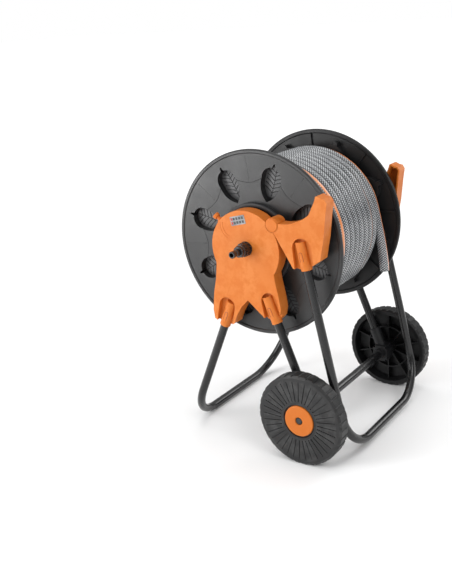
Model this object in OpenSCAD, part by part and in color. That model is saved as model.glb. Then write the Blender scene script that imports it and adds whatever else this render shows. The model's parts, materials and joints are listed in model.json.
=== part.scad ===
// Garden hose reel cart: steel tube frame on two wheels, free-turning hose reel, fold-over push handle.
// Millimetres, +Z up. The reel turns about an X axis; -X is the water inlet side, +X the crank side,
// +Y the front foot and -Y the wheels. The origin is at the floor, under the middle of the whole cart.

// Which piece to draw

/* [Reel] */
// Flange diameter
flange_d = 400; // [390:1:404]
// Width over the two flange rims
reel_w = 289; // [287:1:290]
// Depth of the leaf-shaped pockets in the flanges
pocket_depth = 16; // [8:1:17]
// Number of leaf-shaped pockets in a flange
pockets = 8; // [4:2:8]
// Hose outside diameter
hose_d = 21.6; // [18:0.2:21.8]

/* [Frame] */
// Outside diameter of the frame tubes
tube_d = 18; // [16:0.5:18]
// Wall thickness of the frame tubes
tube_wall = 1.4; // [1:0.1:2]
// Centre-line radius of the tube bends
bend_r = 90; // [60:1:94]

/* [Wheels] */
// Wheel diameter
wheel_d = 192; // [180:1:192]
// Wheel width
wheel_w = 35; // [30:1:35]
// Number of radial grooves in the wheel face
grooves = 36; // [24:2:40]

/* [Crank] */
// Distance from the reel axis to the grip
crank_r = 125; // [100:1:130]
// Direction of the crank in the stored pose, degrees from +Y towards +Z
crank_dir = -15; // [-60:1:30]

/* [Hidden] */
$fn = 64;
e = 0.02;                     // gap of a fixed seat
run = 0.05;                   // radial clearance of a running fit
stance = 2.03;                // lean of the body with foot and wheels on the floor
face_x = reel_w / 2;          // outer face of a flange rim
leg_x = 178;                  // plane of the frame tubes
br_out = 188;                 // outer face of the side brackets
br_in = 158;                  // inner edge of the side brackets
lap_x = 173;                  // where bracket ear and handle wing overlap at the pivot
tr = tube_d / 2;
foot = [167.2, -432];         // front foot run, y and z from the reel centre
foot_a = 21.8;                // lean of the front legs
axle = [-142, -334];          // wheel axle
leg_a = -23;                  // lean of the wheel legs
rear = [-229.7, -409];        // handle run in the stored pose
rear_a = -13.6;               // lean of the stored handle
piv = [-64, 57];              // handle pivot
head_c = [3, -2];             // centre of the round top of the bracket
head_r = 82;                  // its radius
fold = -144;                  // handle travel about +X, stored to raised
wheel_x = 231.5;              // outer face of a wheel
seat_c = piv + [cos(-fold) * (head_c.x - piv.x) - sin(-fold) * (head_c.y - piv.y),
                sin(-fold) * (head_c.x - piv.x) + cos(-fold) * (head_c.y - piv.y)];
catch_a = 37;                 // direction of the handle catch from the bracket's round top
crank_v = [crank_r * cos(crank_dir), crank_r * sin(crank_dir)];
tip_x = 242;                  // outer end of the inlet nipple
grip_x = 283.4;               // outer end of the crank grip
wheel_y = axle.x * cos(stance) - axle.y * sin(stance);
// moves the reel centre to its place above the origin
lift = [(tip_x - grip_x) / 2, (wheel_d / 2 - wheel_y - flange_d / 2) / 2,
        wheel_d / 2 - axle.y * cos(stance) - axle.x * sin(stance)];
coil_x0 = -122.8;             // wound hose, inlet side
coil_x1 = 118.6;              // wound hose, crank side
turn_x = 107.6;               // plane of the last turn
turn_r = 156;                 // centre-line radius of the last turn
outlet_x = 96.6;              // where the water pipe comes out of the core into the hose

// ---- placing helpers ----
// A flat outline in y and z, as a plate from x0 to x1.
module yz(x0, x1) translate([x0, 0, 0]) rotate([90, 0, 90]) linear_extrude(x1 - x0) children();
// A profile of [radius, x] points, turned about the X axis.
module turned(points) rotate([0, 90, 0]) rotate_extrude() polygon(points);
module rod(x0, x1, r) translate([x0, 0, 0]) rotate([0, 90, 0]) cylinder(h = x1 - x0, r = r);
module at(p) translate([0, p.x, p.y]) children();
// Inlet-side pieces are drawn at -X; the crank side mirrors them.
module far() mirror([1, 0, 0]) children();
module placed(c) translate(lift) rotate([stance, 0, 0]) color(c) children();
function along(o, a, h) = o + h * [-sin(a), cos(a)];
module ring2d(r) circle(r = r, $fn = 64);

// Outline moved to the left of its path by d, point by point.
function unit(v) = v / norm(v);
function left(v) = [-v.y, v.x];
function inset(p, d) = [for (i = [0:len(p) - 1]) let (
    a = p[(i + len(p) - 1) % len(p)], b = p[i], c = p[(i + 1) % len(p)],
    n1 = left(unit(b - a)), n2 = left(unit(c - b)), n = unit(n1 + n2)) b + n * d / max(0.4, n * n1)];

// ---- frame tubes ----
module u_shape(r, leg) {
    w = leg_x - bend_r;
    rod(-w, w, r);
    for (s = [-1, 1]) {
        translate([s * leg_x, 0, bend_r]) cylinder(h = leg - bend_r, r = r);
        translate([s * w, 0, bend_r]) rotate([90, 0, 0])
            rotate([0, 0, s > 0 ? -90 : 180]) rotate_extrude(angle = 90)
                translate([bend_r, 0]) circle(r = r, $fn = 48);
    }
}
module u_tube(leg) difference() {
    u_shape(tr, leg);
    u_shape(tr - tube_wall, leg + 1);
}
module straight_tube(z0, z1) difference() {
    translate([0, 0, z0]) cylinder(h = z1 - z0, r = tr);
    translate([0, 0, z0 - 1]) cylinder(h = z1 - z0 + 2, r = tr - tube_wall);
}
module front_foot_tube() placed("#1b1b1c") at(foot) rotate([foot_a, 0, 0]) u_tube(323);
module handle_tube() placed("#1b1b1c") at(rear) rotate([rear_a, 0, 0]) u_tube(446);
module wheel_leg() at(axle) translate([-leg_x, 0, 0]) rotate([leg_a, 0, 0]) straight_tube(13, 248);
module near_wheel_leg() placed("#1b1b1c") wheel_leg();
module far_wheel_leg() placed("#1b1b1c") far() wheel_leg();
module cross_tube() placed("#1b1b1c") at(axle) difference() {
    rod(-166, 166, tr);
    rod(-167, 167, tr - tube_wall);
}

// ---- axle ----
module axle_bracket() at(axle) difference() {
    union() {
        yz(-191.5, -158) {
            square([36, 26], center = true);
            square([26, 36], center = true);
        }
        rod(-158.5, -146, 12.4);
        translate([-leg_x, 0, 0]) rotate([leg_a, 0, 0]) cylinder(h = 58, r = 12.4);
    }
    rod(-192, -160, 5 + e);
    rod(-168, -145, tr + e);
    translate([-leg_x, 0, 0]) rotate([leg_a, 0, 0]) translate([0, 0, 12]) cylinder(h = 50, r = tr + e);
}
module near_axle_bracket() placed("#232324") axle_bracket();
module far_axle_bracket() placed("#232324") far() axle_bracket();
module axle_rod() placed("#8f9092") at(axle) rod(-229, 229, 5);
module push_nut() at(axle) difference() {
    turned([[0, -231.2], [6, -231.2], [7.5, -229.6], [7.5, -226.6], [0, -226.6]]);
    rod(-229.5, -226, 5 + e);
}
module near_push_nut() placed("#2a2a2b") push_nut();
module far_push_nut() placed("#2a2a2b") far() push_nut();

// ---- wheels ----
module wheel() at(axle) difference() {
    union() {
        difference() {
            turned([[0, -wheel_x + 3], [34.4, -wheel_x + 3], [36, -wheel_x], [40, -wheel_x + 0.4],
                [84, -wheel_x + 1.2], [91, -wheel_x + 1.2], [wheel_d / 2, -wheel_x + 5],
                [wheel_d / 2, -wheel_x + wheel_w - 4], [92, -wheel_x + wheel_w], [84, -wheel_x + wheel_w],
                [80, -wheel_x + 12], [0, -wheel_x + 9]]);
            // tread notches around the rim
            for (i = [0:grooves - 1]) rotate([i * 360 / grooves, 0, 0])
                translate([-wheel_x - 1, 0, wheel_d / 2 + 1.2]) rotate([0, 90, 0])
                    cylinder(h = wheel_w + 2, r = 3.2, $fn = 24);
            // radial grooves of the face
            for (i = [0:grooves - 1]) rotate([i * 360 / grooves, 0, 0])
                translate([-wheel_x - 0.5, -0.7, 42]) cube([3, 1.4, 42]);
        }
        rod(-226, -194, 17);
        // ribs inside the wheel
        for (i = [0:9]) rotate([i * 36, 0, 0]) translate([-220.5, -1.2, 15]) cube([14, 2.4, 67]);
        difference() {
            rod(-221, -206, 52);
            rod(-222, -205, 49.6);
        }
    }
    rod(-230, -190, 8 + e);
    rod(-232, -226.4, 33.1);
}
module near_wheel() placed("#2c2c2e") wheel();
module far_wheel() placed("#2c2c2e") far() wheel();
module wheel_bush() at(axle) difference() {
    rod(-226.2, -192.2, 8);
    rod(-227, -191, 5 + run);
}
module near_wheel_bush() placed("#d8d6cf") wheel_bush();
module far_wheel_bush() placed("#d8d6cf") far() wheel_bush();
module hub_cap() at(axle) turned([[8.2, -226.6], [32.8, -226.6], [32.8, -230.4], [31.4, -231.8],
    [12, -232.4], [8.2, -231.8]]);
module near_hub_cap() placed("#e0651c") hub_cap();
module far_hub_cap() placed("#e0651c") far() hub_cap();

// ---- side brackets ----
lower = [[-76, 10], [-75, -6], [-67, -24], [-64, -40], [-68, -64], [-75, -92], [-80, -120], [-77, -138],
    [-68, -149], [-56, -152], [-44, -148], [-30, -137], [0, -113], [16, -130], [28, -150], [36, -171],
    [45, -177], [58, -178], [72, -175], [86, -167], [89, -148], [86, -112], [79, -76], [76, -44],
    [79, -16], [80, 10]];
// tube sockets: mouth (y, z), lean, and how far the pocket sits to the side of its tube
sockets = [[along(foot, foot_a, 273), foot_a, -4], [along(axle, leg_a, 198), leg_a, 3]];
wing_socket = [along(rear, rear_a, 396), rear_a, 0];
bosses = [[2, -88], [58, -70], [-30, 52], [44, 46]];

module body2d() {
    at2(head_c) ring2d(head_r);
    polygon(lower);
}
module body_in2d() {
    at2(head_c) ring2d(head_r - 3.6);
    polygon(inset(lower, 3.6));
}
module at2(p) translate(p) children();
module arch2d(w, h) {
    translate([0, h - w]) circle(r = w, $fn = 48);
    translate([-w, -24]) square([2 * w, h - w + 24]);
}
// Local frame of a tube socket: z runs up the tube from the socket's mouth. Its pocket leans half as much.
module socket_at(s) at(s[0]) rotate([s[1], 0, 0]) children();
module pocket_at(s) at(s[0] + [s[2], 0]) rotate([s[1] / 2, 0, 0]) children();
module socket_wall(bottom = -3) translate([-leg_x, 0, bottom]) cylinder(h = 59, r = 11.6);
module socket_bore() translate([-leg_x, 0, -12]) cylinder(h = 62.2, r = tr + e);

module bracket(bore_x) difference() {
    union() {
        difference() {
            union() {
                difference() {
                    yz(-br_out, -br_in) body2d();
                    yz(-br_out + 3.6, -br_in + 1) body_in2d();
                }
                rod(-br_out + 1, -br_in - 2.2, 24);
                yz(-lap_x + 0.5, -br_in) at2(piv) ring2d(15);
                // pocket walls, kept inside the outline
                intersection() {
                    yz(-br_out + 0.5, -171) body2d();
                    for (s = sockets) pocket_at(s) yz(-br_out + 0.5, -171) arch2d(23, 67);
                }
                // stiffening ribs behind the face
                translate([-br_out + 1, -60, -60]) cube([18, 134, 2.4]);
                translate([-br_out + 1, -66, -1.2]) cube([18, 134, 2.4]);
                for (p = bosses) at(p) rod(-br_out + 1, -br_in - 2.2, 5);
            }
            for (s = sockets) pocket_at(s) yz(-br_out - 4, -178.6) arch2d(19.5, 64);
        }
        for (s = sockets) socket_at(s) socket_wall();
        // boss of the handle catch
        at(head_c) translate([-lap_x, 0, 0]) rotate([catch_a - 90, 0, 0])
            translate([0, 0, 68]) cylinder(h = 19, r = 7.4);
    }
    for (s = sockets) socket_at(s) socket_bore();
    for (p = bosses) at(p) rod(-168.2, -br_in, 1.7 + e);
    rod(-br_out - 5, -br_in + 5, 9 + e);
    rod(bore_x, -br_in + 5, 19);
    yz(-br_out - 5, -lap_x + 0.1) at2(piv) ring2d(15.8);
    at(piv) rod(-br_out - 5, -br_in + 5, 5 + run);
    at(head_c) translate([-lap_x, 0, 0]) rotate([catch_a - 90, 0, 0])
        translate([0, 0, 58]) cylinder(h = 36, r = 4.08);
}
module near_bracket() placed("#e0651c") bracket(-br_out + 4);
module far_bracket() placed("#e0651c") far() bracket(-br_out - 5);

module cover() yz(-br_in - 2, -br_in) difference() {
    union() {
        at2(head_c) ring2d(head_r - 4);
        polygon(inset(lower, 4));
    }
    at2(piv) ring2d(15.4);
    circle(r = 19.4);
    for (p = bosses) at2(p) circle(r = 1.8);
}
module near_cover() placed("#29292a") cover();
module far_cover() placed("#29292a") far() cover();
module cover_screws() for (p = bosses)
    at(p) turned([[0, -168], [1.7, -168], [1.7, -158], [3.6, -158], [3, -156.6], [0, -156.6]]);
module near_cover_screws() placed("#9a9b9d") cover_screws();
module far_cover_screws() placed("#9a9b9d") far() cover_screws();
module rating_plate() placed("#9aa1a4") yz(-br_out - 0.9, -br_out) translate([18, 58])
    rotate(-15) square([36, 19], center = true);

// Handle catch: a press button on the rim of each bracket.
module latch() at(head_c) translate([-lap_x, 0, 0]) rotate([catch_a - 90, 0, 0]) {
    translate([0, 0, 62]) cylinder(h = 34, r = 4);
    translate([0, 0, 94]) cylinder(h = 8, r1 = 6.6, r2 = 7.6);
}
module near_catch() placed("#e0651c") latch();
module far_catch() placed("#e0651c") far() latch();

// ---- handle ----
wing = [[-58, 42], [-72, 34], [-90, 6], [-111, -27], [-126, -30], [-147, -22], [-173, -3], [-181, 43],
    [-186, 92], [-189, 114], [-184, 122], [-176, 123], [-168, 127], [-160, 125], [-154, 116],
    [-154, 99], [-148, 87], [-134, 76], [-115, 68], [-92, 66], [-76, 72], [-62, 72]];
module wing_cut2d() {
    at2(head_c) ring2d(head_r + 0.7);
    at2(seat_c) ring2d(head_r + 0.7);
}
module wing_part() difference() {
    union() {
        difference() {
            yz(-br_out, -br_in) difference() {
                polygon(wing);
                wing_cut2d();
            }
            yz(-br_out + 3.6, -br_in + 1) difference() {
                polygon(inset(wing, -3.6));
                at2(head_c) ring2d(head_r + 4.3);
                at2(seat_c) ring2d(head_r + 4.3);
                at2(piv) ring2d(19);
            }
            pocket_at(wing_socket) yz(-br_out - 4, -178.6) arch2d(22, 62);
        }
        yz(-br_out, -lap_x - 0.5) at2(piv) ring2d(15);
        intersection() {
            yz(-br_out + 0.5, -171) polygon(inset(wing, -0.5));
            pocket_at(wing_socket) difference() {
                yz(-br_out + 0.5, -171) arch2d(25, 65);
                yz(-br_out - 4, -178.6) arch2d(22, 62);
            }
        }
        socket_at(wing_socket) socket_wall(-5);
    }
    socket_at(wing_socket) socket_bore();
    yz(-lap_x - 0.1, -br_in + 1) at2(piv) ring2d(15.8);
    at(piv) rod(-br_out - 5, -br_in + 5, 5 + e);
}
module near_wing() placed("#e0651c") wing_part();
module far_wing() placed("#e0651c") far() wing_part();
module pivot_pin() at(piv) turned([[0, -190.8], [12.2, -190.8], [13.6, -189.6], [13.6, -188], [5, -188],
    [5, -157.6], [0, -157.6]]);
module near_pivot_pin() placed("#e0651c") pivot_pin();
module far_pivot_pin() placed("#e0651c") far() pivot_pin();

// ---- reel ----
// One leaf: round outer end, pointed towards the hub, short stalk outwards. g grows it all round.
module leaf2d(g) {
    translate([146, 0]) circle(r = 23.5 + g, $fn = 48);
    intersection() {
        intersection_for (s = [-1, 1]) translate([136, s * 27]) circle(r = 50 + g, $fn = 96);
        translate([60, -60]) square([87, 120]);
    }
    polygon([[166, 4 + g], [178 + g, 1.5 + g], [178 + g, -1.5 - g], [166, -4 - g]]);
}
module leaves(x0, x1, g) for (i = [0:pockets - 1])
    yz(x0, x1) rotate(15 + i * 360 / pockets) leaf2d(g);
module flange() difference() {
    union() {
        turned([[15, -142.4], [80, -142.4], [80, -154.4], [88, -154.4], [88, -142.4],
            [flange_d / 2 - 9, -142.4], [flange_d / 2 - 7, -face_x], [flange_d / 2 - 2.5, -face_x],
            [flange_d / 2, -face_x + 2.5], [flange_d / 2, -face_x + 6], [flange_d / 2 - 2, -face_x + 8],
            [flange_d / 2 - 8, -face_x + 8], [flange_d / 2 - 10, -138.6], [84.6, -138.6],
            [84.6, -128], [81.6, -128], [81.6, -138.6], [15, -138.6]]);
        leaves(-139, -142.4 + pocket_depth + 2, 2.4);
        for (i = [0:pockets - 1]) rotate([(i + 0.5) * 360 / pockets + 15, 0, 0])
            translate([-139, 90, -1.5]) cube([4.5, 100, 3]);
    }
    leaves(-150, -142.4 + pocket_depth, 0);
    rod(-160, -120, 20);
    for (i = [0:3]) rotate([45 + 90 * i, 0, 0]) translate([0, 27, 0]) rod(-150, -130, 3 + e);
}
module near_flange() placed("#2f3033") flange();
module far_flange() placed("#2f3033") far() flange();
module drum_core() placed("#262628") difference() {
    rod(-138.5, 138.5, 88);
    rod(-139, 139, 84.7);
    translate([outlet_x, 0, 0]) rotate([60, 0, 0]) cylinder(h = 100, r = 9);
}
// Inlet-side journal: turns in the bracket bush and carries the water to the outlet pipe.
module near_journal() placed("#303134") difference() {
    turned([[0, -183.6], [15.95, -183.6], [15.95, -147.2], [34, -147.2], [34, -142.4], [19.97, -142.4],
        [19.97, -122], [8, -122], [8, -74], [0, -74]]);
    rod(-184, -146, 9 + run);
    rod(-150, -73, 5);
    for (i = [0:3]) rotate([45 + 90 * i, 0, 0]) translate([0, 27, 0]) rod(-150, -130, 3 + e);
}
module far_journal() placed("#303134") difference() {
    far() turned([[0, -206], [11, -206], [11, -192.5], [15.95, -192.5], [15.95, -147.2], [34, -147.2],
        [34, -142.4], [19.97, -142.4], [19.97, -122], [0, -122]]);
    rod(176, 210, 4);
    for (i = [0:3]) rotate([45 + 90 * i, 0, 0]) translate([0, 27, 0]) rod(130, 150, 3 + e);
}
module hub_screws() for (i = [0:3]) rotate([45 + 90 * i, 0, 0]) translate([0, 27, 0])
    turned([[0, -150.2], [4.6, -150.2], [5.6, -149], [5.6, -147.2], [3, -147.2], [3, -136], [0, -136]]);
module near_hub_screws() placed("#9a9b9d") hub_screws();
module far_hub_screws() placed("#9a9b9d") far() hub_screws();
module outlet_elbow() placed("#2a2a2c") difference() {
    union() {
        rod(-86, -70, 11.5);
        rod(-71, outlet_x + 12, 9);
        translate([outlet_x, 0, 0]) rotate([60, 0, 0]) cylinder(h = 87.6, r = 8);
    }
    rod(-87, -73.9, 8 + e);
    rod(-75, outlet_x + 7, 5.5);
    translate([outlet_x, 0, 0]) rotate([60, 0, 0]) cylinder(h = 90, r = 4.6);
}

// Wound hose: a closed ring with a step where the last turn lies.
module hose_coil() placed("#aeb4b6") turned([[88.3, coil_x0], [166.6, coil_x0], [166.6, turn_x - 11.2],
    [144.6, turn_x - 11.2], [144.6, coil_x1], [88.3, coil_x1]]);

// Last turn and hanging end: round the front and over the top of the reel, then down behind it.
turn_from = -105;
turn_to = 164;
hang = [[-156, 12], [-162.5, -14], [-168, -41], [-172, -68], [-175, -94], [-176, -107]];
route = concat(
    [for (i = [0:34]) let (a = turn_from + (turn_to - turn_from) * i / 34)
        [turn_x, turn_r * cos(a), turn_r * sin(a)]],
    [for (p = hang) [turn_x, p.x, p.y]]);
function dir(p, i) = unit(p[min(i + 1, len(p) - 1)] - p[max(i - 1, 0)]);
module sweep(p, r, n) {
    rings = [for (i = [0:len(p) - 1]) let (t = dir(p, i), u = [1, 0, 0], v = cross(t, u))
        for (k = [0:n - 1]) p[i] + r * (u * cos(k * 360 / n) + v * sin(k * 360 / n))];
    m = len(p);
    polyhedron(rings, concat(
        [[for (k = [0:n - 1]) k]],
        [for (i = [0:m - 2]) for (k = [0:n - 1])
            [i * n + k, (i + 1) * n + k, (i + 1) * n + (k + 1) % n, i * n + (k + 1) % n]],
        [[for (k = [n - 1:-1:0]) (m - 1) * n + k]]));
}
module hose_end() placed("#aeb4b6") sweep(route, hose_d / 2, 12);

// ---- bushes and water inlet ----
module bush(x0) difference() {
    rod(x0, -br_in - 0.2, 19 - e);
    rod(x0 - 1, -br_in + 1, 15.95 + run);
}
module near_bush() placed("#c9c6bd") bush(-br_out + 4.1);
module far_bush() placed("#c9c6bd") far() bush(-br_out - 1);
module inlet_nipple() placed("#242527") difference() {
    turned([[0, -242], [6.4, -242], [7.3, -240.8], [7.3, -233], [6.2, -232], [6.2, -229], [7.3, -228],
        [7.3, -206.2], [9, -206], [9, -161.4], [7.4, -161.4], [7.4, -159], [9, -159], [9, -149],
        [0, -149]]);
    rod(-243, -148, 4.6);
}
module inlet_seal() placed("#0e0e0f") translate([-160.2, 0, 0]) rotate([0, 90, 0])
    rotate_extrude() translate([8.22, 0]) circle(r = 0.8, $fn = 24);
module inlet_nut() placed("#242527") difference() {
    union() {
        rod(-205.6, -br_out, 13.6);
        rod(-190.4, -br_out, 15.4);
        for (i = [0:11]) rotate([i * 30, 0, 0]) translate([0, 13.2, 0]) rod(-204.4, -189, 1.9);
    }
    rod(-210, -br_out + 1, 9 + e);
}
module inlet_collar() placed("#3a3c3f") difference() {
    turned([[0, -218.6], [10.4, -218.6], [11.6, -217.4], [11.6, -211], [12.9, -210.4], [12.9, -206.3],
        [0, -206.3]]);
    rod(-219, -206, 7.3 + e);
}

// ---- crank ----
module crank_arm() placed("#29292b") difference() {
    union() {
        yz(196, 206) {
            circle(r = 20);
            at2(crank_v) circle(r = 13);
            rotate(crank_dir) polygon([[0, -16], [crank_r, -10], [crank_r, 10], [0, 16]]);
        }
        rod(193, 208, 17);
    }
    rod(190, 210, 11 + e);
    at(crank_v) rod(190, 210, 5 + e);
}
module crank_screw() placed("#9a9b9d") turned([[0, 182], [3.95, 182], [3.95, 208], [11, 208], [11, 209.5],
    [8, 212], [0, 212]]);
module crank_pin() placed("#8f9092") at(crank_v) turned([[0, 194.4], [9, 194.4], [9, 196], [5, 196],
    [5, 271], [8.5, 271], [8.5, 273.4], [0, 273.4]]);
module crank_grip() placed("#29292b") at(crank_v) difference() {
    turned([[0, 207.4], [11, 207.4], [13, 209.4], [13.4, 214], [11.8, 224], [12.6, 236], [14.4, 252],
        [14.6, 266], [13.4, 276], [12.4, 280.4], [0, 280.4]]);
    rod(206, 272, 5 + run);
    rod(270.4, 282, 10);
}
module grip_cap() placed("#e0651c") at(crank_v) turned([[0, 276], [9.97, 276], [9.97, 280.4],
    [12.2, 280.4], [11.4, 282.2], [7, 283.4], [0, 283.4]]);

front_foot_tube();
near_wheel_leg();
far_wheel_leg();
cross_tube();
near_axle_bracket();
far_axle_bracket();
axle_rod();
near_push_nut();
far_push_nut();
near_bracket();
far_bracket();
near_cover();
far_cover();
near_cover_screws();
far_cover_screws();
rating_plate();
near_bush();
far_bush();
inlet_nut();
inlet_collar();
inlet_nipple();
inlet_seal();
near_catch();
far_catch();
handle_tube();
near_wing();
far_wing();
near_pivot_pin();
far_pivot_pin();
near_flange();
far_flange();
drum_core();
near_journal();
far_journal();
near_hub_screws();
far_hub_screws();
outlet_elbow();
hose_coil();
hose_end();
crank_arm();
crank_screw();
crank_pin();
crank_grip();
grip_cap();
near_wheel();
far_wheel();
near_hub_cap();
far_hub_cap();
near_wheel_bush();
far_wheel_bush();
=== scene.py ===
import json
import math

import bpy
import numpy as np
from mathutils import Matrix, Vector


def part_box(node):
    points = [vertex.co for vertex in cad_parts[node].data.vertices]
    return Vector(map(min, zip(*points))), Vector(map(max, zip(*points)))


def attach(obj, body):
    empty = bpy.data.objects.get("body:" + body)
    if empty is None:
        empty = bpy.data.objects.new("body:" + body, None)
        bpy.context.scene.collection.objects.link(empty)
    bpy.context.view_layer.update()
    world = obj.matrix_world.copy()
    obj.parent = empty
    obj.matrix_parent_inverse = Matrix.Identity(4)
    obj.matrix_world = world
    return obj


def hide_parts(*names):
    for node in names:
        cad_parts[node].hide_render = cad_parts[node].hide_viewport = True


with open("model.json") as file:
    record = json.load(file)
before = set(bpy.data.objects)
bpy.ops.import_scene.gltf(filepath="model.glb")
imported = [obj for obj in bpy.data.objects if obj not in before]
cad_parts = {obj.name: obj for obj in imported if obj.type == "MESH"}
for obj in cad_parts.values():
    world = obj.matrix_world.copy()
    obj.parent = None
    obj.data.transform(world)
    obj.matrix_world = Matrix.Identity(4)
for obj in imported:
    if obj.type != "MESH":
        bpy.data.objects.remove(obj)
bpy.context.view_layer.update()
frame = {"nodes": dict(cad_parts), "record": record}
nodes = frame["nodes"]

# ---- the body frame: millimetres from the reel's centre, leaning by STANCE as the CAD does ----
STANCE = math.radians(2.03)
near_lo, near_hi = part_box("near_flange")
far_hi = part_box("far_flange")[1]
REEL = Vector(((near_lo.x + far_hi.x) / 2,
               (near_lo.y + near_hi.y) / 2,
               (near_lo.z + near_hi.z) / 2))
PLACE = Matrix.Translation(REEL) @ Matrix.Rotation(STANCE, 4, "X") @ Matrix.Scale(0.001, 4)


# ---- camera ----
cam_data = bpy.data.cameras.new("camera")
camera = bpy.data.objects.new("camera", cam_data)
bpy.context.scene.collection.objects.link(camera)
bpy.context.scene.camera = camera
RIGHT = Vector((0.54134634, -0.83846194, -0.06265561))
UP = Vector((0.21279740, 0.06453508, 0.97496281))
BACK = Vector((-0.81342572, -0.54112550, 0.21335835))
turn = Matrix((RIGHT, UP, BACK)).transposed().to_4x4()
camera.matrix_world = Matrix.Translation(REEL + Vector((-1.64890, -0.98948, 0.48695))) @ turn
cam_data.sensor_width = 36
cam_data.lens = 54.666
cam_data.shift_x = -0.0411
cam_data.shift_y = -0.1575
cam_data.clip_start, cam_data.clip_end = 0.01, 100


# ---- materials ----
class Nodes:
    """A material's node tree, with short calls for the nodes used here."""

    def __init__(self, name):
        self.mat = bpy.data.materials.new(name)
        self.mat.use_nodes = True
        self.tree = self.mat.node_tree
        self.shader = self.tree.nodes["Principled BSDF"]

    def add(self, kind, **values):
        n = self.tree.nodes.new(kind)
        for k, v in values.items():
            setattr(n, k, v)
        return n

    def link(self, a, b):
        self.tree.links.new(a, b)

    def put(self, socket, value):
        if isinstance(value, bpy.types.NodeSocket):
            self.link(value, socket)
        else:
            socket.default_value = value

    def math(self, op, a, b=0.0, c=0.0):
        n = self.add("ShaderNodeMath", operation=op)
        for i, v in enumerate((a, b, c)):
            self.put(n.inputs[i], v)
        return n.outputs[0]

    def span(self, value, lo, hi, to_lo=0.0, to_hi=1.0):
        n = self.add("ShaderNodeMapRange")
        for i, v in enumerate((value, lo, hi, to_lo, to_hi)):
            self.put(n.inputs[i], v)
        return n.outputs[0]

    def mix(self, factor, a, b):
        n = self.add("ShaderNodeMix", data_type="RGBA")
        self.put(n.inputs[0], factor)
        for i, v in ((6, a), (7, b)):
            self.put(n.inputs[i], v if isinstance(v, bpy.types.NodeSocket) else (*v, 1))
        return n.outputs[2]

    def noise(self, scale, detail=3.0, rough=0.55, stretch=None):
        where = self.add("ShaderNodeTexCoord").outputs["Object"]
        if stretch:
            m = self.add("ShaderNodeMapping")
            m.inputs["Scale"].default_value = stretch
            self.link(where, m.inputs[0])
            where = m.outputs[0]
        n = self.add("ShaderNodeTexNoise")
        self.link(where, n.inputs["Vector"])
        n.inputs["Scale"].default_value = scale
        n.inputs["Detail"].default_value = detail
        n.inputs["Roughness"].default_value = rough
        return n.outputs[0]

    def bump(self, height, distance, strength=1.0):
        n = self.add("ShaderNodeBump")
        n.inputs["Strength"].default_value = strength
        n.inputs["Distance"].default_value = distance
        self.link(height, n.inputs["Height"])
        self.link(n.outputs[0], self.shader.inputs["Normal"])


def moulded(name, colour, rough, grain=0.00006, grain_scale=1400, shade=0.82, edge=None,
            metallic=0.0, coat=0.0, dust=0.0, stretch=None, specular=0.5):
    """Moulded or painted surface: cloudy tone, fine grain, wandering roughness, rubbed edges."""
    n = Nodes(name)
    cloud = n.noise(9, 4)
    tone = n.mix(n.span(cloud, 0.35, 0.68), tuple(c * shade for c in colour), colour)
    if edge:
        sharp = n.add("ShaderNodeNewGeometry").outputs["Pointiness"]
        rub = n.math("MULTIPLY", n.span(sharp, 0.515, 0.56), n.span(n.noise(60, 3), 0.38, 0.6))
        tone = n.mix(n.math("MULTIPLY", rub, 0.6), tone, edge)
    if dust:
        up = n.add("ShaderNodeSeparateXYZ")
        n.link(n.add("ShaderNodeNewGeometry").outputs["Normal"], up.inputs[0])
        film = n.math("MULTIPLY", n.span(up.outputs[2], 0.2, 1.0), n.span(n.noise(35, 5), 0.4, 0.75))
        tone = n.mix(n.math("MULTIPLY", film, dust), tone, (0.32, 0.31, 0.29))
    n.link(tone, n.shader.inputs["Base Color"])
    n.link(n.span(n.noise(26, 4), 0.3, 0.7, rough - 0.06, rough + 0.06), n.shader.inputs["Roughness"])
    n.shader.inputs["Metallic"].default_value = metallic
    n.shader.inputs["Specular IOR Level"].default_value = specular
    n.shader.inputs["Coat Weight"].default_value = coat
    n.shader.inputs["Coat Roughness"].default_value = 0.15
    n.bump(n.noise(grain_scale, 2, stretch=stretch), grain)
    return n.mat


YARNS = 9  # crossings of the braid round the hose


def braided(name):
    """Clear-skinned hose: dark yarns crossed on grey, an orange stripe, and painted shade darkening the
    sides where the turns touch.
    """
    n = Nodes(name)
    uv = n.add("ShaderNodeSeparateXYZ")
    n.link(n.add("ShaderNodeUVMap", uv_map="UVMap").outputs[0], uv.inputs[0])
    around, length = uv.outputs[0], uv.outputs[1]
    a = n.math("MULTIPLY", around, YARNS)
    p = n.math("ADD", a, length)
    q = n.math("SUBTRACT", a, length)

    def yarn(v, width):
        d = n.math("ABSOLUTE", n.math("SUBTRACT", n.math("FRACT", v), 0.5))
        return n.span(d, width - 0.05, width + 0.05, 1.0, 0.0)

    crossed = n.math("MAXIMUM", yarn(p, 0.23), yarn(q, 0.17))
    cloud = n.span(n.noise(30, 3), 0.35, 0.65)
    light = n.mix(cloud, (0.40, 0.42, 0.44), (0.58, 0.60, 0.62))
    colour = n.mix(crossed, light, (0.009, 0.010, 0.012))
    off = n.math("ABSOLUTE", n.math("SUBTRACT", around, 0.5))
    band = n.span(off, 0.050, 0.058, 1.0, 0.0)
    stripe = n.mix(n.math("MULTIPLY", crossed, 0.16), (0.80, 0.27, 0.085), (0.40, 0.10, 0.03))
    # painted shade: near-black mixed in on the sides of each turn, where the hose turns touch one another
    turn_shade = n.add("ShaderNodeAttribute", attribute_name="turn_shade").outputs["Fac"]
    n.link(n.mix(turn_shade, (0.012, 0.013, 0.014), n.mix(band, colour, stripe)), n.shader.inputs["Base Color"])
    n.link(n.span(n.noise(80, 3), 0.3, 0.7, 0.26, 0.36), n.shader.inputs["Roughness"])
    n.shader.inputs["Coat Weight"].default_value = 0.9
    n.shader.inputs["Coat Roughness"].default_value = 0.16
    n.bump(n.math("ADD", crossed, n.math("MULTIPLY", n.noise(700, 2), 0.4)), 0.00022, 0.7)
    return n.mat


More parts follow.
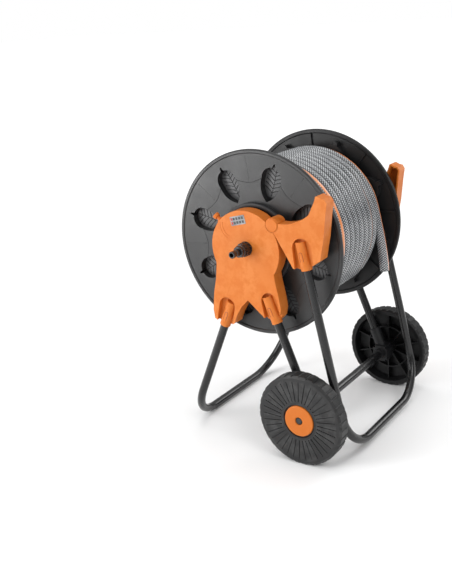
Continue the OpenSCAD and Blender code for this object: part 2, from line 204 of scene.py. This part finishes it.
ORANGE = (0.57, 0.148, 0.017)
LOOKS = {
    "tube_paint": moulded("tube_paint", (0.0065, 0.0065, 0.007), 0.25, 0.00003, 420, coat=0.25,
                          shade=0.9, specular=0.4),
    "orange": moulded("orange", ORANGE, 0.46, 0.00004, 1500, shade=0.98, edge=(0.66, 0.22, 0.05),
                      specular=0.25),
    "flange_grey": moulded("flange_grey", (0.0165, 0.0168, 0.0175), 0.36, 0.00008, 900, shade=0.78,
                           edge=(0.035, 0.035, 0.036)),
    "core_black": moulded("core_black", (0.009, 0.009, 0.010), 0.45, 0.00006, 1300, specular=0.35),
    "wheel_grey": moulded("wheel_grey", (0.0085, 0.0085, 0.009), 0.50, 0.00010, 900, shade=0.75,
                          edge=(0.045, 0.045, 0.045), dust=0.05),
    "fitting_black": moulded("fitting_black", (0.009, 0.009, 0.010), 0.24, 0.00003, 900, coat=0.3,
                             edge=(0.05, 0.05, 0.055)),
    "steel": moulded("steel", (0.60, 0.60, 0.61), 0.32, 0.00005, 900, metallic=1.0,
                     edge=(0.75, 0.75, 0.76), stretch=(1, 12, 12)),
    "bearing_white": moulded("bearing_white", (0.74, 0.72, 0.66), 0.42, 0.00003, 1200),
    "seal": moulded("seal", (0.012, 0.012, 0.012), 0.62, 0.00005, 1600),
    "hose_braid": braided("hose_braid"),
    "plate_grey": moulded("plate_grey", (0.20, 0.22, 0.235), 0.40, 0.00004, 1200, edge=(0.4, 0.4, 0.4)),
}
DETAIL = {
    # painted shade: near-black for the flanges' vein and scallop lines and the hub collar's ring, where
    # shade falls in grooves and recesses
    "groove_shade": moulded("groove_shade", (0.010, 0.010, 0.011), 0.55, 0.00004, 1300),
    "plate_red": moulded("plate_red", (0.52, 0.030, 0.020), 0.42, 0.00004, 1200),
    "plate_dark": moulded("plate_dark", (0.035, 0.038, 0.042), 0.35, 0.00004, 1200),
    # painted light: the leaf pocket floors get a much lighter grey than the flange face, standing in for
    # light reaching into the pockets
    "lit_leaf_floor": moulded("lit_leaf_floor", (0.085, 0.086, 0.089), 0.46, 0.00007, 900, shade=0.85),
    # painted shade: darker copies of the flange and wheel greys for the far side, whose faces lie in shade
    "far_flange": moulded("far_flange", (0.0085, 0.0085, 0.009), 0.44, 0.00007, 900, shade=0.8,
                          specular=0.35),
    "far_wheel": moulded("far_wheel", (0.0075, 0.0075, 0.008), 0.5, 0.0001, 900, shade=0.8, specular=0.3),
    # painted shade: darker orange for the slits round the snap tongues
    "orange_groove_shade": moulded("orange_groove_shade", (0.30, 0.050, 0.008), 0.5, 0.00004, 1500),
    "hose_bore": moulded("hose_bore", (0.028, 0.030, 0.032), 0.50, 0.00005, 900),
}


# ---- hose: wound in four layers, then hanging bare ----
HOSE_R = 10.8
BORE_R = 7.8
HOSE_SIDES = 20
FREE_RINGS = 17  # rings at the end that have left the winding
LAYERS = [(99.1, 96.6, -22, 10), (117.8, -112.4, 22, 11), (136.5, 96.6, -22, 10), (155.6, -112.4, 22, 11)]
START = 150.0
INNER_STEP = 90.0  # arc over which an inner turn moves to its next place
OUTER_FROM, OUTER_TO = 55.0, 115.0  # the outer layer moves under the reel, clear of the hanging end
# where the stripe lies on the outer layer's turns: 0 outwards, 90 towards +X, 180 hidden underneath
STRIPE_TURN = [0, 1.45, 1.75, 2.0, 3.15, 3.45, 8.7, 9.0, 9.12, 9.25, 9.6, 10.6, 10.9, 11]
STRIPE_ANGLE = [180, 180, -8, -10, -12, -180, -180, -326, -334, -338, -540, -540, -708, -703]
HANG = [(-156, 12), (-162.5, -14), (-168, -41), (-172, -68), (-175, -94), (-176, -107)]


def ease(t):
    t = min(max(t, 0.0), 1.0)
    return t * t * (3 - 2 * t)


def hose_route():
    """Centreline points in body millimetres, and the stripe's angle at each: 0 outwards, 90 towards +X."""
    points, twist = [], []
    for k, (r, x0, pitch, turns) in enumerate(LAYERS):
        last_layer = k == len(LAYERS) - 1
        per = 48 if last_layer else 24
        for t in range(turns):
            for i in range(per):
                angle = 360.0 * i / per
                part = ease((angle - (360 - INNER_STEP)) / INNER_STEP)
                x, radius = x0 + pitch * t, r
                if last_layer:
                    if t > 0:
                        x += pitch * (ease((angle - OUTER_FROM) / (OUTER_TO - OUTER_FROM)) - 1)
                elif t < turns - 1:
                    x += pitch * part
                else:
                    x += (LAYERS[k + 1][1] - x) * part
                    radius += (LAYERS[k + 1][0] - r) * part
                a = math.radians(START + angle)
                points.append((x, radius * math.cos(a), radius * math.sin(a)))
                turn_no = t + angle / 360
                twist.append(float(np.interp(turn_no, STRIPE_TURN, STRIPE_ANGLE))
                             if last_layer else 180.0)
    r, x = LAYERS[-1][0], LAYERS[-1][1] + LAYERS[-1][2] * (LAYERS[-1][3] - 1)
    for i in range(3):
        a = math.radians(START + 14 * i / 3)
        points.append((x, r * math.cos(a), r * math.sin(a)))
    ends = [(r * math.cos(math.radians(164)), r * math.sin(math.radians(164)))] + HANG
    for (y0, z0), (y1, z1) in zip(ends, ends[1:]):
        points += [(x, y0 + (y1 - y0) * f, z0 + (z1 - z0) * f) for f in (0, 0.5)]
    points.append((x, *HANG[-1]))
    twist += [-702.0] * (len(points) - len(twist))
    p = np.array(points)
    for _ in range(2):  # rounds the corners of the hanging part
        p[-14:-1] = (p[-15:-2] + 2 * p[-14:-1] + p[-13:]) / 4
    return p, np.radians(twist)


def hose():
    route, twist = hose_route()
    along = np.concatenate([[0], np.cumsum(np.linalg.norm(np.diff(route, axis=0), axis=1))])
    tangent = np.gradient(route, axis=0)
    tangent /= np.linalg.norm(tangent, axis=1)[:, None]
    out = route * [0, 1, 1]
    out -= (out * tangent).sum(1)[:, None] * tangent
    out /= np.linalg.norm(out, axis=1)[:, None]
    side = np.cross(out, tangent)
    side *= np.sign(side[:, :1] + 1e-9)
    sides = HOSE_SIDES
    verts, faces, uvs, turn_shade = [], [], [], []
    free = len(route) - FREE_RINGS
    unit = math.pi * 2 * HOSE_R / YARNS * 0.72  # length of one braid crossing

    def ring(i, r):
        for k in range(sides):
            a = 2 * math.pi * k / sides
            verts.append(route[i] + r * (out[i] * math.cos(a) + side[i] * math.sin(a)))
            # painted shade: a factor near 0.06 on the sides where the turns touch, rising to 1 along the
            # hanging end
            between = 0.06 + 0.94 * ease((math.cos(a) - 0.22) / 0.70)
            turn_shade.append(between + (1 - between) * ease((i - free) / 6))

    for i in range(len(route)):
        ring(i, HOSE_R)
    last = len(route) - 1
    body_rings = len(route)
    ring(last, BORE_R)
    for i in (last - 1, last - 2):
        ring(i, BORE_R)
    rings = body_rings + 3
    bore = []
    for i in range(rings - 1):
        for k in range(sides):
            b = (k + 1) % sides
            faces.append((i * sides + k, i * sides + b, (i + 1) * sides + b, (i + 1) * sides + k))
            bore.append(i >= body_rings - 1)
            u0, u1 = k / sides, (k + 1) / sides
            j0, j1 = min(i, last), min(i + 1, last)
            for u, j in ((u0, j0), (u1, j0), (u1, j1), (u0, j1)):
                uvs.append((u + 0.5 - twist[j] / (2 * math.pi), along[j] / unit))
    faces.append(tuple(range(sides))[::-1])
    uvs += [(0.25, 0)] * sides
    faces.append(tuple((rings - 1) * sides + k for k in range(sides)))
    uvs += [(0.25, 0)] * sides
    bore += [True, True]
    mesh = bpy.data.meshes.new("hose")
    mesh.from_pydata([tuple(v) for v in verts], [], faces)
    mesh.transform(PLACE)
    layer = mesh.uv_layers.new(name="UVMap")
    wrapped = np.array(uvs, np.float32)
    # keep each face's u in one turn, so that the stripe never smears over a wrap
    count = 0
    for f in mesh.polygons:
        u = wrapped[count:count + f.loop_total, 0]
        u -= math.floor(u.mean())
        count += f.loop_total
    layer.data.foreach_set("uv", wrapped.ravel())
    mesh.attributes.new("turn_shade", "FLOAT", "POINT").data.foreach_set("value", turn_shade)
    mesh.materials.append(LOOKS["hose_braid"])
    mesh.materials.append(DETAIL["hose_bore"])
    mesh.polygons.foreach_set("material_index", np.array(bore, np.int32))
    mesh.polygons.foreach_set("use_smooth", np.ones(len(mesh.polygons), bool))
    mesh.validate()
    obj = bpy.data.objects.new("hose", mesh)
    bpy.context.scene.collection.objects.link(obj)
    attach(obj, "reel")
    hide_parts("hose_coil", "hose_end")
    return obj


hose()


# ---- helpers for added pieces ----
def add(name, verts, faces, body, material, smooth=True):
    mesh = bpy.data.meshes.new(name)
    mesh.from_pydata([tuple(map(float, v)) for v in verts], [], faces)
    mesh.transform(PLACE)
    mesh.materials.append(material)
    mesh.polygons.foreach_set("use_smooth", np.full(len(mesh.polygons), smooth))
    mesh.validate()
    mesh.update()
    obj = bpy.data.objects.new(name, mesh)
    bpy.context.scene.collection.objects.link(obj)
    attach(obj, body)
    return obj


BEAD_SIDES = 6
SINK = 0.15  # how deep a raised line reaches into its surface


def bead(lines, width, height, normal):
    """Half-round raised lines on a surface: each line is a list of points, normal(p) the way out."""
    verts, faces = [], []
    for line in lines:
        p = np.array(line, float)
        t = np.gradient(p, axis=0)
        t /= np.linalg.norm(t, axis=1)[:, None]
        base = len(verts)
        m = len(p)
        for i in range(m):
            n = np.array(normal(p[i]), float)
            s = np.cross(t[i], n)
            s /= np.linalg.norm(s)
            for k in range(BEAD_SIDES):
                a = math.pi * k / (BEAD_SIDES - 1)
                verts.append(p[i] + s * (width / 2 * math.cos(a)) + n * (height * math.sin(a)) - n * SINK)
        for i in range(m - 1):
            for k in range(BEAD_SIDES):
                b = (k + 1) % BEAD_SIDES
                here, there = base + i * BEAD_SIDES, base + (i + 1) * BEAD_SIDES
                faces.append((here + k, here + b, there + b, there + k))
        faces.append(tuple(base + k for k in reversed(range(BEAD_SIDES))))
        faces.append(tuple(base + (m - 1) * BEAD_SIDES + k for k in range(BEAD_SIDES)))
    return verts, faces


# ---- leaf veins, scallop lines and panel lines of the flanges ----
POCKETS = 8
FACE, FLOOR = 142.4, 126.4
FIRST_LEAF = 15  # degrees
LEAF_FROM, LEAF_TO = 101, 168.6  # distance from the hub


def polar(x, r, a):
    return (x, r * math.cos(a), r * math.sin(a))


def leaf_point(x, a, u, v):
    return (x, u * math.cos(a) - v * math.sin(a), u * math.sin(a) + v * math.cos(a))


def half_leaf(u):
    """Half width of the leaf at distance u from the hub."""
    inner = math.sqrt(max(0.0, 50 ** 2 - (u - 136) ** 2)) - 27 if u <= 147 else 0.0
    outer = math.sqrt(max(0.0, 23.5 ** 2 - (u - 146) ** 2))
    return max(inner, outer, 0.0)


def leaf_plates(sgn):
    """A slightly domed plate on the floor of each leaf pocket."""
    verts, faces = [], []
    us = np.linspace(LEAF_FROM, LEAF_TO, 30)
    rows = 7
    for i in range(POCKETS):
        a = math.radians(FIRST_LEAF + 360 / POCKETS * i)
        base = len(verts)
        for u in us:
            w = max(half_leaf(u) - 0.6, 0.3)
            for k in range(rows):
                q = 2 * k / (rows - 1) - 1
                dome = 1.0 * (1 - q * q) * min(1.0, w / 12)
                verts.append(leaf_point(sgn * (FLOOR + 0.25 + dome), a, u, q * w))
        for m in range(len(us) - 1):
            for k in range(rows - 1):
                c = base + m * rows + k
                quad = (c, c + 1, c + rows + 1, c + rows)
                faces.append(quad if sgn > 0 else quad[::-1])
    return verts, faces


def hub_shade_band(sgn):
    """Dark ring on the top of the flange's hub collar: painted shade standing for the recess there."""
    profile = [(79.9, 153.2), (79.9, 154.5), (80.4, 154.8), (87.6, 154.8), (88.1, 154.5), (88.1, 143.6)]
    verts, faces = [], []
    steps = 128
    for i in range(steps):
        t = 2 * math.pi * i / steps
        verts += [polar(sgn * x, r, t) for r, x in profile]
    m = len(profile)
    for i in range(steps):
        for k in range(m - 1):
            c, d = i * m + k, (i + 1) % steps * m + k
            quad = (c, c + 1, d + 1, d)
            faces.append(quad if sgn < 0 else quad[::-1])
    return verts, faces


for side_name, sgn in (("near", -1), ("far", 1)):
    veins, scallops, panels = [], [], []
    for i in range(POCKETS):
        a = math.radians(FIRST_LEAF + 360 / POCKETS * i)
        x = sgn * (FLOOR + 1.0)
        veins.append([leaf_point(x, a, u, 1.6 * math.sin((u - 100) / 20))
                      for u in np.linspace(104, 167, 14)])
        for u0 in (112, 121, 130, 139, 148, 156):
            for v_sign in (-1, 1):
                reach = []
                for f in np.linspace(0, 1, 8):
                    u = u0 + 17 * f - 4 * f * f
                    v = v_sign * (24 * f + 3 * f * f)
                    if abs(v) > half_leaf(u) - 0.8:
                        break
                    reach.append(leaf_point(x, a, u, v))
                if len(reach) > 2:
                    veins.append(reach)
        mid = a + math.pi / POCKETS
        half = math.radians(13.2)
        scallops.append([polar(sgn * FACE, 130 + 11 * abs(2 * f - 1) ** 2, mid - half + 2 * half * f)
                         for f in np.linspace(0, 1, 17)])
        panels.append([polar(sgn * FACE, r, mid) for r in np.linspace(134, 188, 6)])
    out_x = (sgn, 0, 0)
    v, f = leaf_plates(sgn)
    # painted light: the domed plates on the pocket floors carry the lighter floor grey
    add(f"{side_name}_leaf_floors", v, f, "reel", DETAIL["lit_leaf_floor"])
    # painted shade: a near-black ring laid on the hub collar
    v, f = hub_shade_band(sgn)
    add(f"{side_name}_hub_shade_band", v, f, "reel", DETAIL["groove_shade"])
    v, f = bead(veins, 1.9, 0.9, lambda p: out_x)
    add(f"{side_name}_leaf_veins", v, f, "reel", DETAIL["groove_shade"])
    v, f = bead(scallops, 1.5, 0.55, lambda p: out_x)
    add(f"{side_name}_scallop_lines", v, f, "reel", DETAIL["groove_shade"])
    v, f = bead(panels, 1.0, 0.30, lambda p: out_x)
    add(f"{side_name}_panel_lines", v, f, "reel", LOOKS["flange_grey"])


# ---- snap tongues on the tube sockets ----
def along_tube(origin, lean, h):
    a = math.radians(lean)
    return (origin[0] - h * math.sin(a), origin[1] + h * math.cos(a))


FOOT, AXLE, REAR = (167.2, -432), (-142, -334), (-229.7, -409)
TUBE_X = 178
SOCKET_R = 11.62


def tongue(origin, lean, h0, sgn):
    """U-shaped line round a snap tongue, lying on the half-round socket of a tube."""
    a = math.radians(lean)
    r = SOCKET_R
    line = []
    for s in np.linspace(0, 1, 25):
        if s < 0.3:
            w, h = -3.4, h0 + 16 * s / 0.3
        elif s > 0.7:
            w, h = 3.4, h0 + 16 * (1 - s) / 0.3
        else:
            b = math.pi * (s - 0.3) / 0.4
            w, h = -3.4 * math.cos(b), h0 + 16 + 3.4 * math.sin(b)
        y, z = along_tube(origin, lean, h)
        line.append((sgn * (TUBE_X + math.sqrt(r * r - w * w)), y + w * math.cos(a), z + w * math.sin(a)))
    return line


for side_name, sgn in (("near", -1), ("far", 1)):
    out_x = (sgn, 0, 0)
    # painted shade: the U lines round the snap tongues are drawn in darker orange
    v, f = bead([tongue(FOOT, 21.8, 286, sgn), tongue(AXLE, -23, 212, sgn)], 1.3, 0.6, lambda p: out_x)
    add(f"{side_name}_socket_tongues", v, f, "frame", DETAIL["orange_groove_shade"])
    v, f = bead([tongue(REAR, -13.6, 410, sgn)], 1.3, 0.6, lambda p: out_x)
    add(f"{side_name}_wing_tongue", v, f, "handle", DETAIL["orange_groove_shade"])


# ---- plain raised pattern on the grey plate, and the curved rib beside it ----
def block(y, z, w, h, x0, x1, tilt):
    """Chamfered raised block in the plane of the bracket face; tilt in radians."""
    verts = []
    for x, g in ((x0, 0.0), (x1 + 0.15, 0.0), (x1, -0.25)):
        for sy, sz in ((-1, -1), (1, -1), (1, 1), (-1, 1)):
            p, q = sy * (w / 2 + g), sz * (h / 2 + g)
            verts.append((x, y + p * math.cos(tilt) - q * math.sin(tilt),
                          z + p * math.sin(tilt) + q * math.cos(tilt)))
    faces = [(3, 2, 1, 0), (8, 9, 10, 11)]
    for k in (0, 4):
        faces += [(k + i, k + (i + 1) % 4, k + 4 + (i + 1) % 4, k + 4 + i) for i in range(4)]
    return verts, faces


def blocks(items, x0, x1, tilt):
    verts, faces = [], []
    for y, z, w, h in items:
        v, f = block(y, z, w, h, x0, x1, tilt)
        faces += [tuple(len(verts) + i for i in face) for face in f]
        verts += v
    return verts, faces


TILT = math.radians(-15)
PLATE_Y, PLATE_Z, PLATE_X = 18, 58, -188.8
BRACKET_X = -188


def on_plate(p, q):
    return (PLATE_Y + p * math.cos(TILT) - q * math.sin(TILT),
            PLATE_Z + p * math.sin(TILT) + q * math.cos(TILT))


cells = [(*on_plate(p, q), 5.0, 5.4) for p in (-12.5, -5.5, 1.5, 8.5) for q in (-4.2, 4.2)]
v, f = blocks(cells, PLATE_X, -189.3, TILT)
add("plate_cells", v, f, "frame", DETAIL["plate_dark"], smooth=False)
v, f = blocks([(*on_plate(14.2, q), 3.8, 5.4) for q in (-4.2, 4.2)], PLATE_X, -189.4, TILT)
add("plate_marks", v, f, "frame", DETAIL["plate_red"], smooth=False)
ribs = []
for r in (27.0, 33.0):
    ribs.append([(BRACKET_X, 30 + r * math.cos(t), 46 + r * math.sin(t))
                 for t in np.radians(np.linspace(-64, 8, 15))])
v, f = bead(ribs, 1.6, 0.7, lambda p: (-1, 0, 0))
add("bracket_face_ribs", v, f, "frame", LOOKS["orange"])


# ---- finish on the CAD nodes ----
def soften(node, width):
    """Rounds a CAD node's sharp edges for shading; its own vertices stay as they are."""
    obj = nodes[node]
    obj.data.polygons.foreach_set("use_smooth", np.ones(len(obj.data.polygons), bool))
    weld = obj.modifiers.new("weld", "WELD")
    weld.merge_threshold = 0.00001
    flat = obj.modifiers.new("flat", "DECIMATE")
    flat.decimate_type = "DISSOLVE"
    flat.angle_limit = math.radians(0.4)
    bevel = obj.modifiers.new("bevel", "BEVEL")
    bevel.width = width
    bevel.segments = 2
    bevel.limit_method = "ANGLE"
    bevel.angle_limit = math.radians(32)
    bevel.harden_normals = True
    bevel.use_clamp_overlap = True
    even = obj.modifiers.new("even", "WEIGHTED_NORMAL")
    even.keep_sharp = True
    even.weight = 80


WIDTHS = {"orange": 0.0011, "flange_grey": 0.0006, "wheel_grey": 0.0005, "tube_paint": 0.0003,
          "core_black": 0.0005, "steel": 0.0002, "plate_grey": 0.0002}
for part in frame["record"]["subparts"]:
    obj, slot = nodes[part["node"]], part["material_slot"]
    obj.data.materials.clear()
    obj.data.materials.append(DETAIL.get(part["node"], LOOKS[slot]))
    if part["node"] not in ("hose_coil", "hose_end", "inlet_seal"):
        soften(part["node"], WIDTHS.get(slot, 0.0003))

# ---- floor, lights and surroundings ----
floor_mesh = bpy.data.meshes.new("floor")
floor_mesh.from_pydata([(-30, -30, 0), (30, -30, 0), (30, 30, 0), (-30, 30, 0)], [], [(0, 1, 2, 3)])
floor = bpy.data.objects.new("floor", floor_mesh)
bpy.context.scene.collection.objects.link(floor)
ground = Nodes("floor")
ground.link(ground.mix(ground.noise(9), (0.925, 0.925, 0.925), (0.93, 0.93, 0.93)),
            ground.shader.inputs["Base Color"])
ground.shader.inputs["Roughness"].default_value = 0.75
ground.shader.inputs["Specular IOR Level"].default_value = 0.2
ground.shader.inputs["Emission Color"].default_value = (1, 1, 1, 1)
distance = ground.add("ShaderNodeVectorMath", operation="LENGTH")
ground.link(ground.add("ShaderNodeTexCoord").outputs["Object"], distance.inputs[0])
# the pale floor brightens away from the cart and runs into the white backdrop
ground.link(ground.span(distance.outputs["Value"], 0.7, 3.5, 0.0, 0.45),
            ground.shader.inputs["Emission Strength"])
floor_mesh.materials.append(ground.mat)


def softbox(name, place, size, power):
    data = bpy.data.lights.new(name, "AREA")
    data.shape, data.size, data.size_y = "RECTANGLE", size[0], size[1]
    data.energy = power
    lamp = bpy.data.objects.new(name, data)
    bpy.context.scene.collection.objects.link(lamp)
    spot = REEL + Vector(place)
    aim = (REEL - spot).to_track_quat("-Z", "Y").to_matrix().to_4x4()
    lamp.matrix_world = Matrix.Translation(spot) @ aim


softbox("key", (-2.0, 1.25, 0.95), (1.5, 1.3), 26)
softbox("sheen", (-1.75, 1.5, 0.05), (0.55, 0.6), 15)
softbox("front", (-1.2, -2.2, 1.3), (1.0, 1.4), 17)
softbox("top", (0.2, 0.0, 2.3), (1.8, 1.8), 13)
softbox("back", (1.8, -0.9, 1.1), (0.8, 1.4), 12)

# the camera sees a white studio; the light it gives is soft and comes mostly from above
world = bpy.data.worlds.new("studio")
bpy.context.scene.world = world
world.use_nodes = True
tree = world.node_tree
sky = tree.nodes["Background"]
path = tree.nodes.new("ShaderNodeLightPath")
where = tree.nodes.new("ShaderNodeTexCoord")
split = tree.nodes.new("ShaderNodeSeparateXYZ")
tree.links.new(where.outputs["Generated"], split.inputs[0])
rise = tree.nodes.new("ShaderNodeMapRange")
rise.inputs["To Min"].default_value = 0.12
rise.inputs["To Max"].default_value = 1.05
tree.links.new(split.outputs[2], rise.inputs["Value"])
level = tree.nodes.new("ShaderNodeMix")
level.data_type = "FLOAT"
tree.links.new(path.outputs["Is Camera Ray"], level.inputs[0])
tree.links.new(rise.outputs[0], level.inputs[2])
level.inputs[3].default_value = 1.0
tree.links.new(level.outputs[0], sky.inputs["Strength"])
sky.inputs["Color"].default_value = (1, 1, 1, 1)
bpy.context.scene.view_settings.view_transform = "Standard"
bpy.context.scene.view_settings.look = "None"
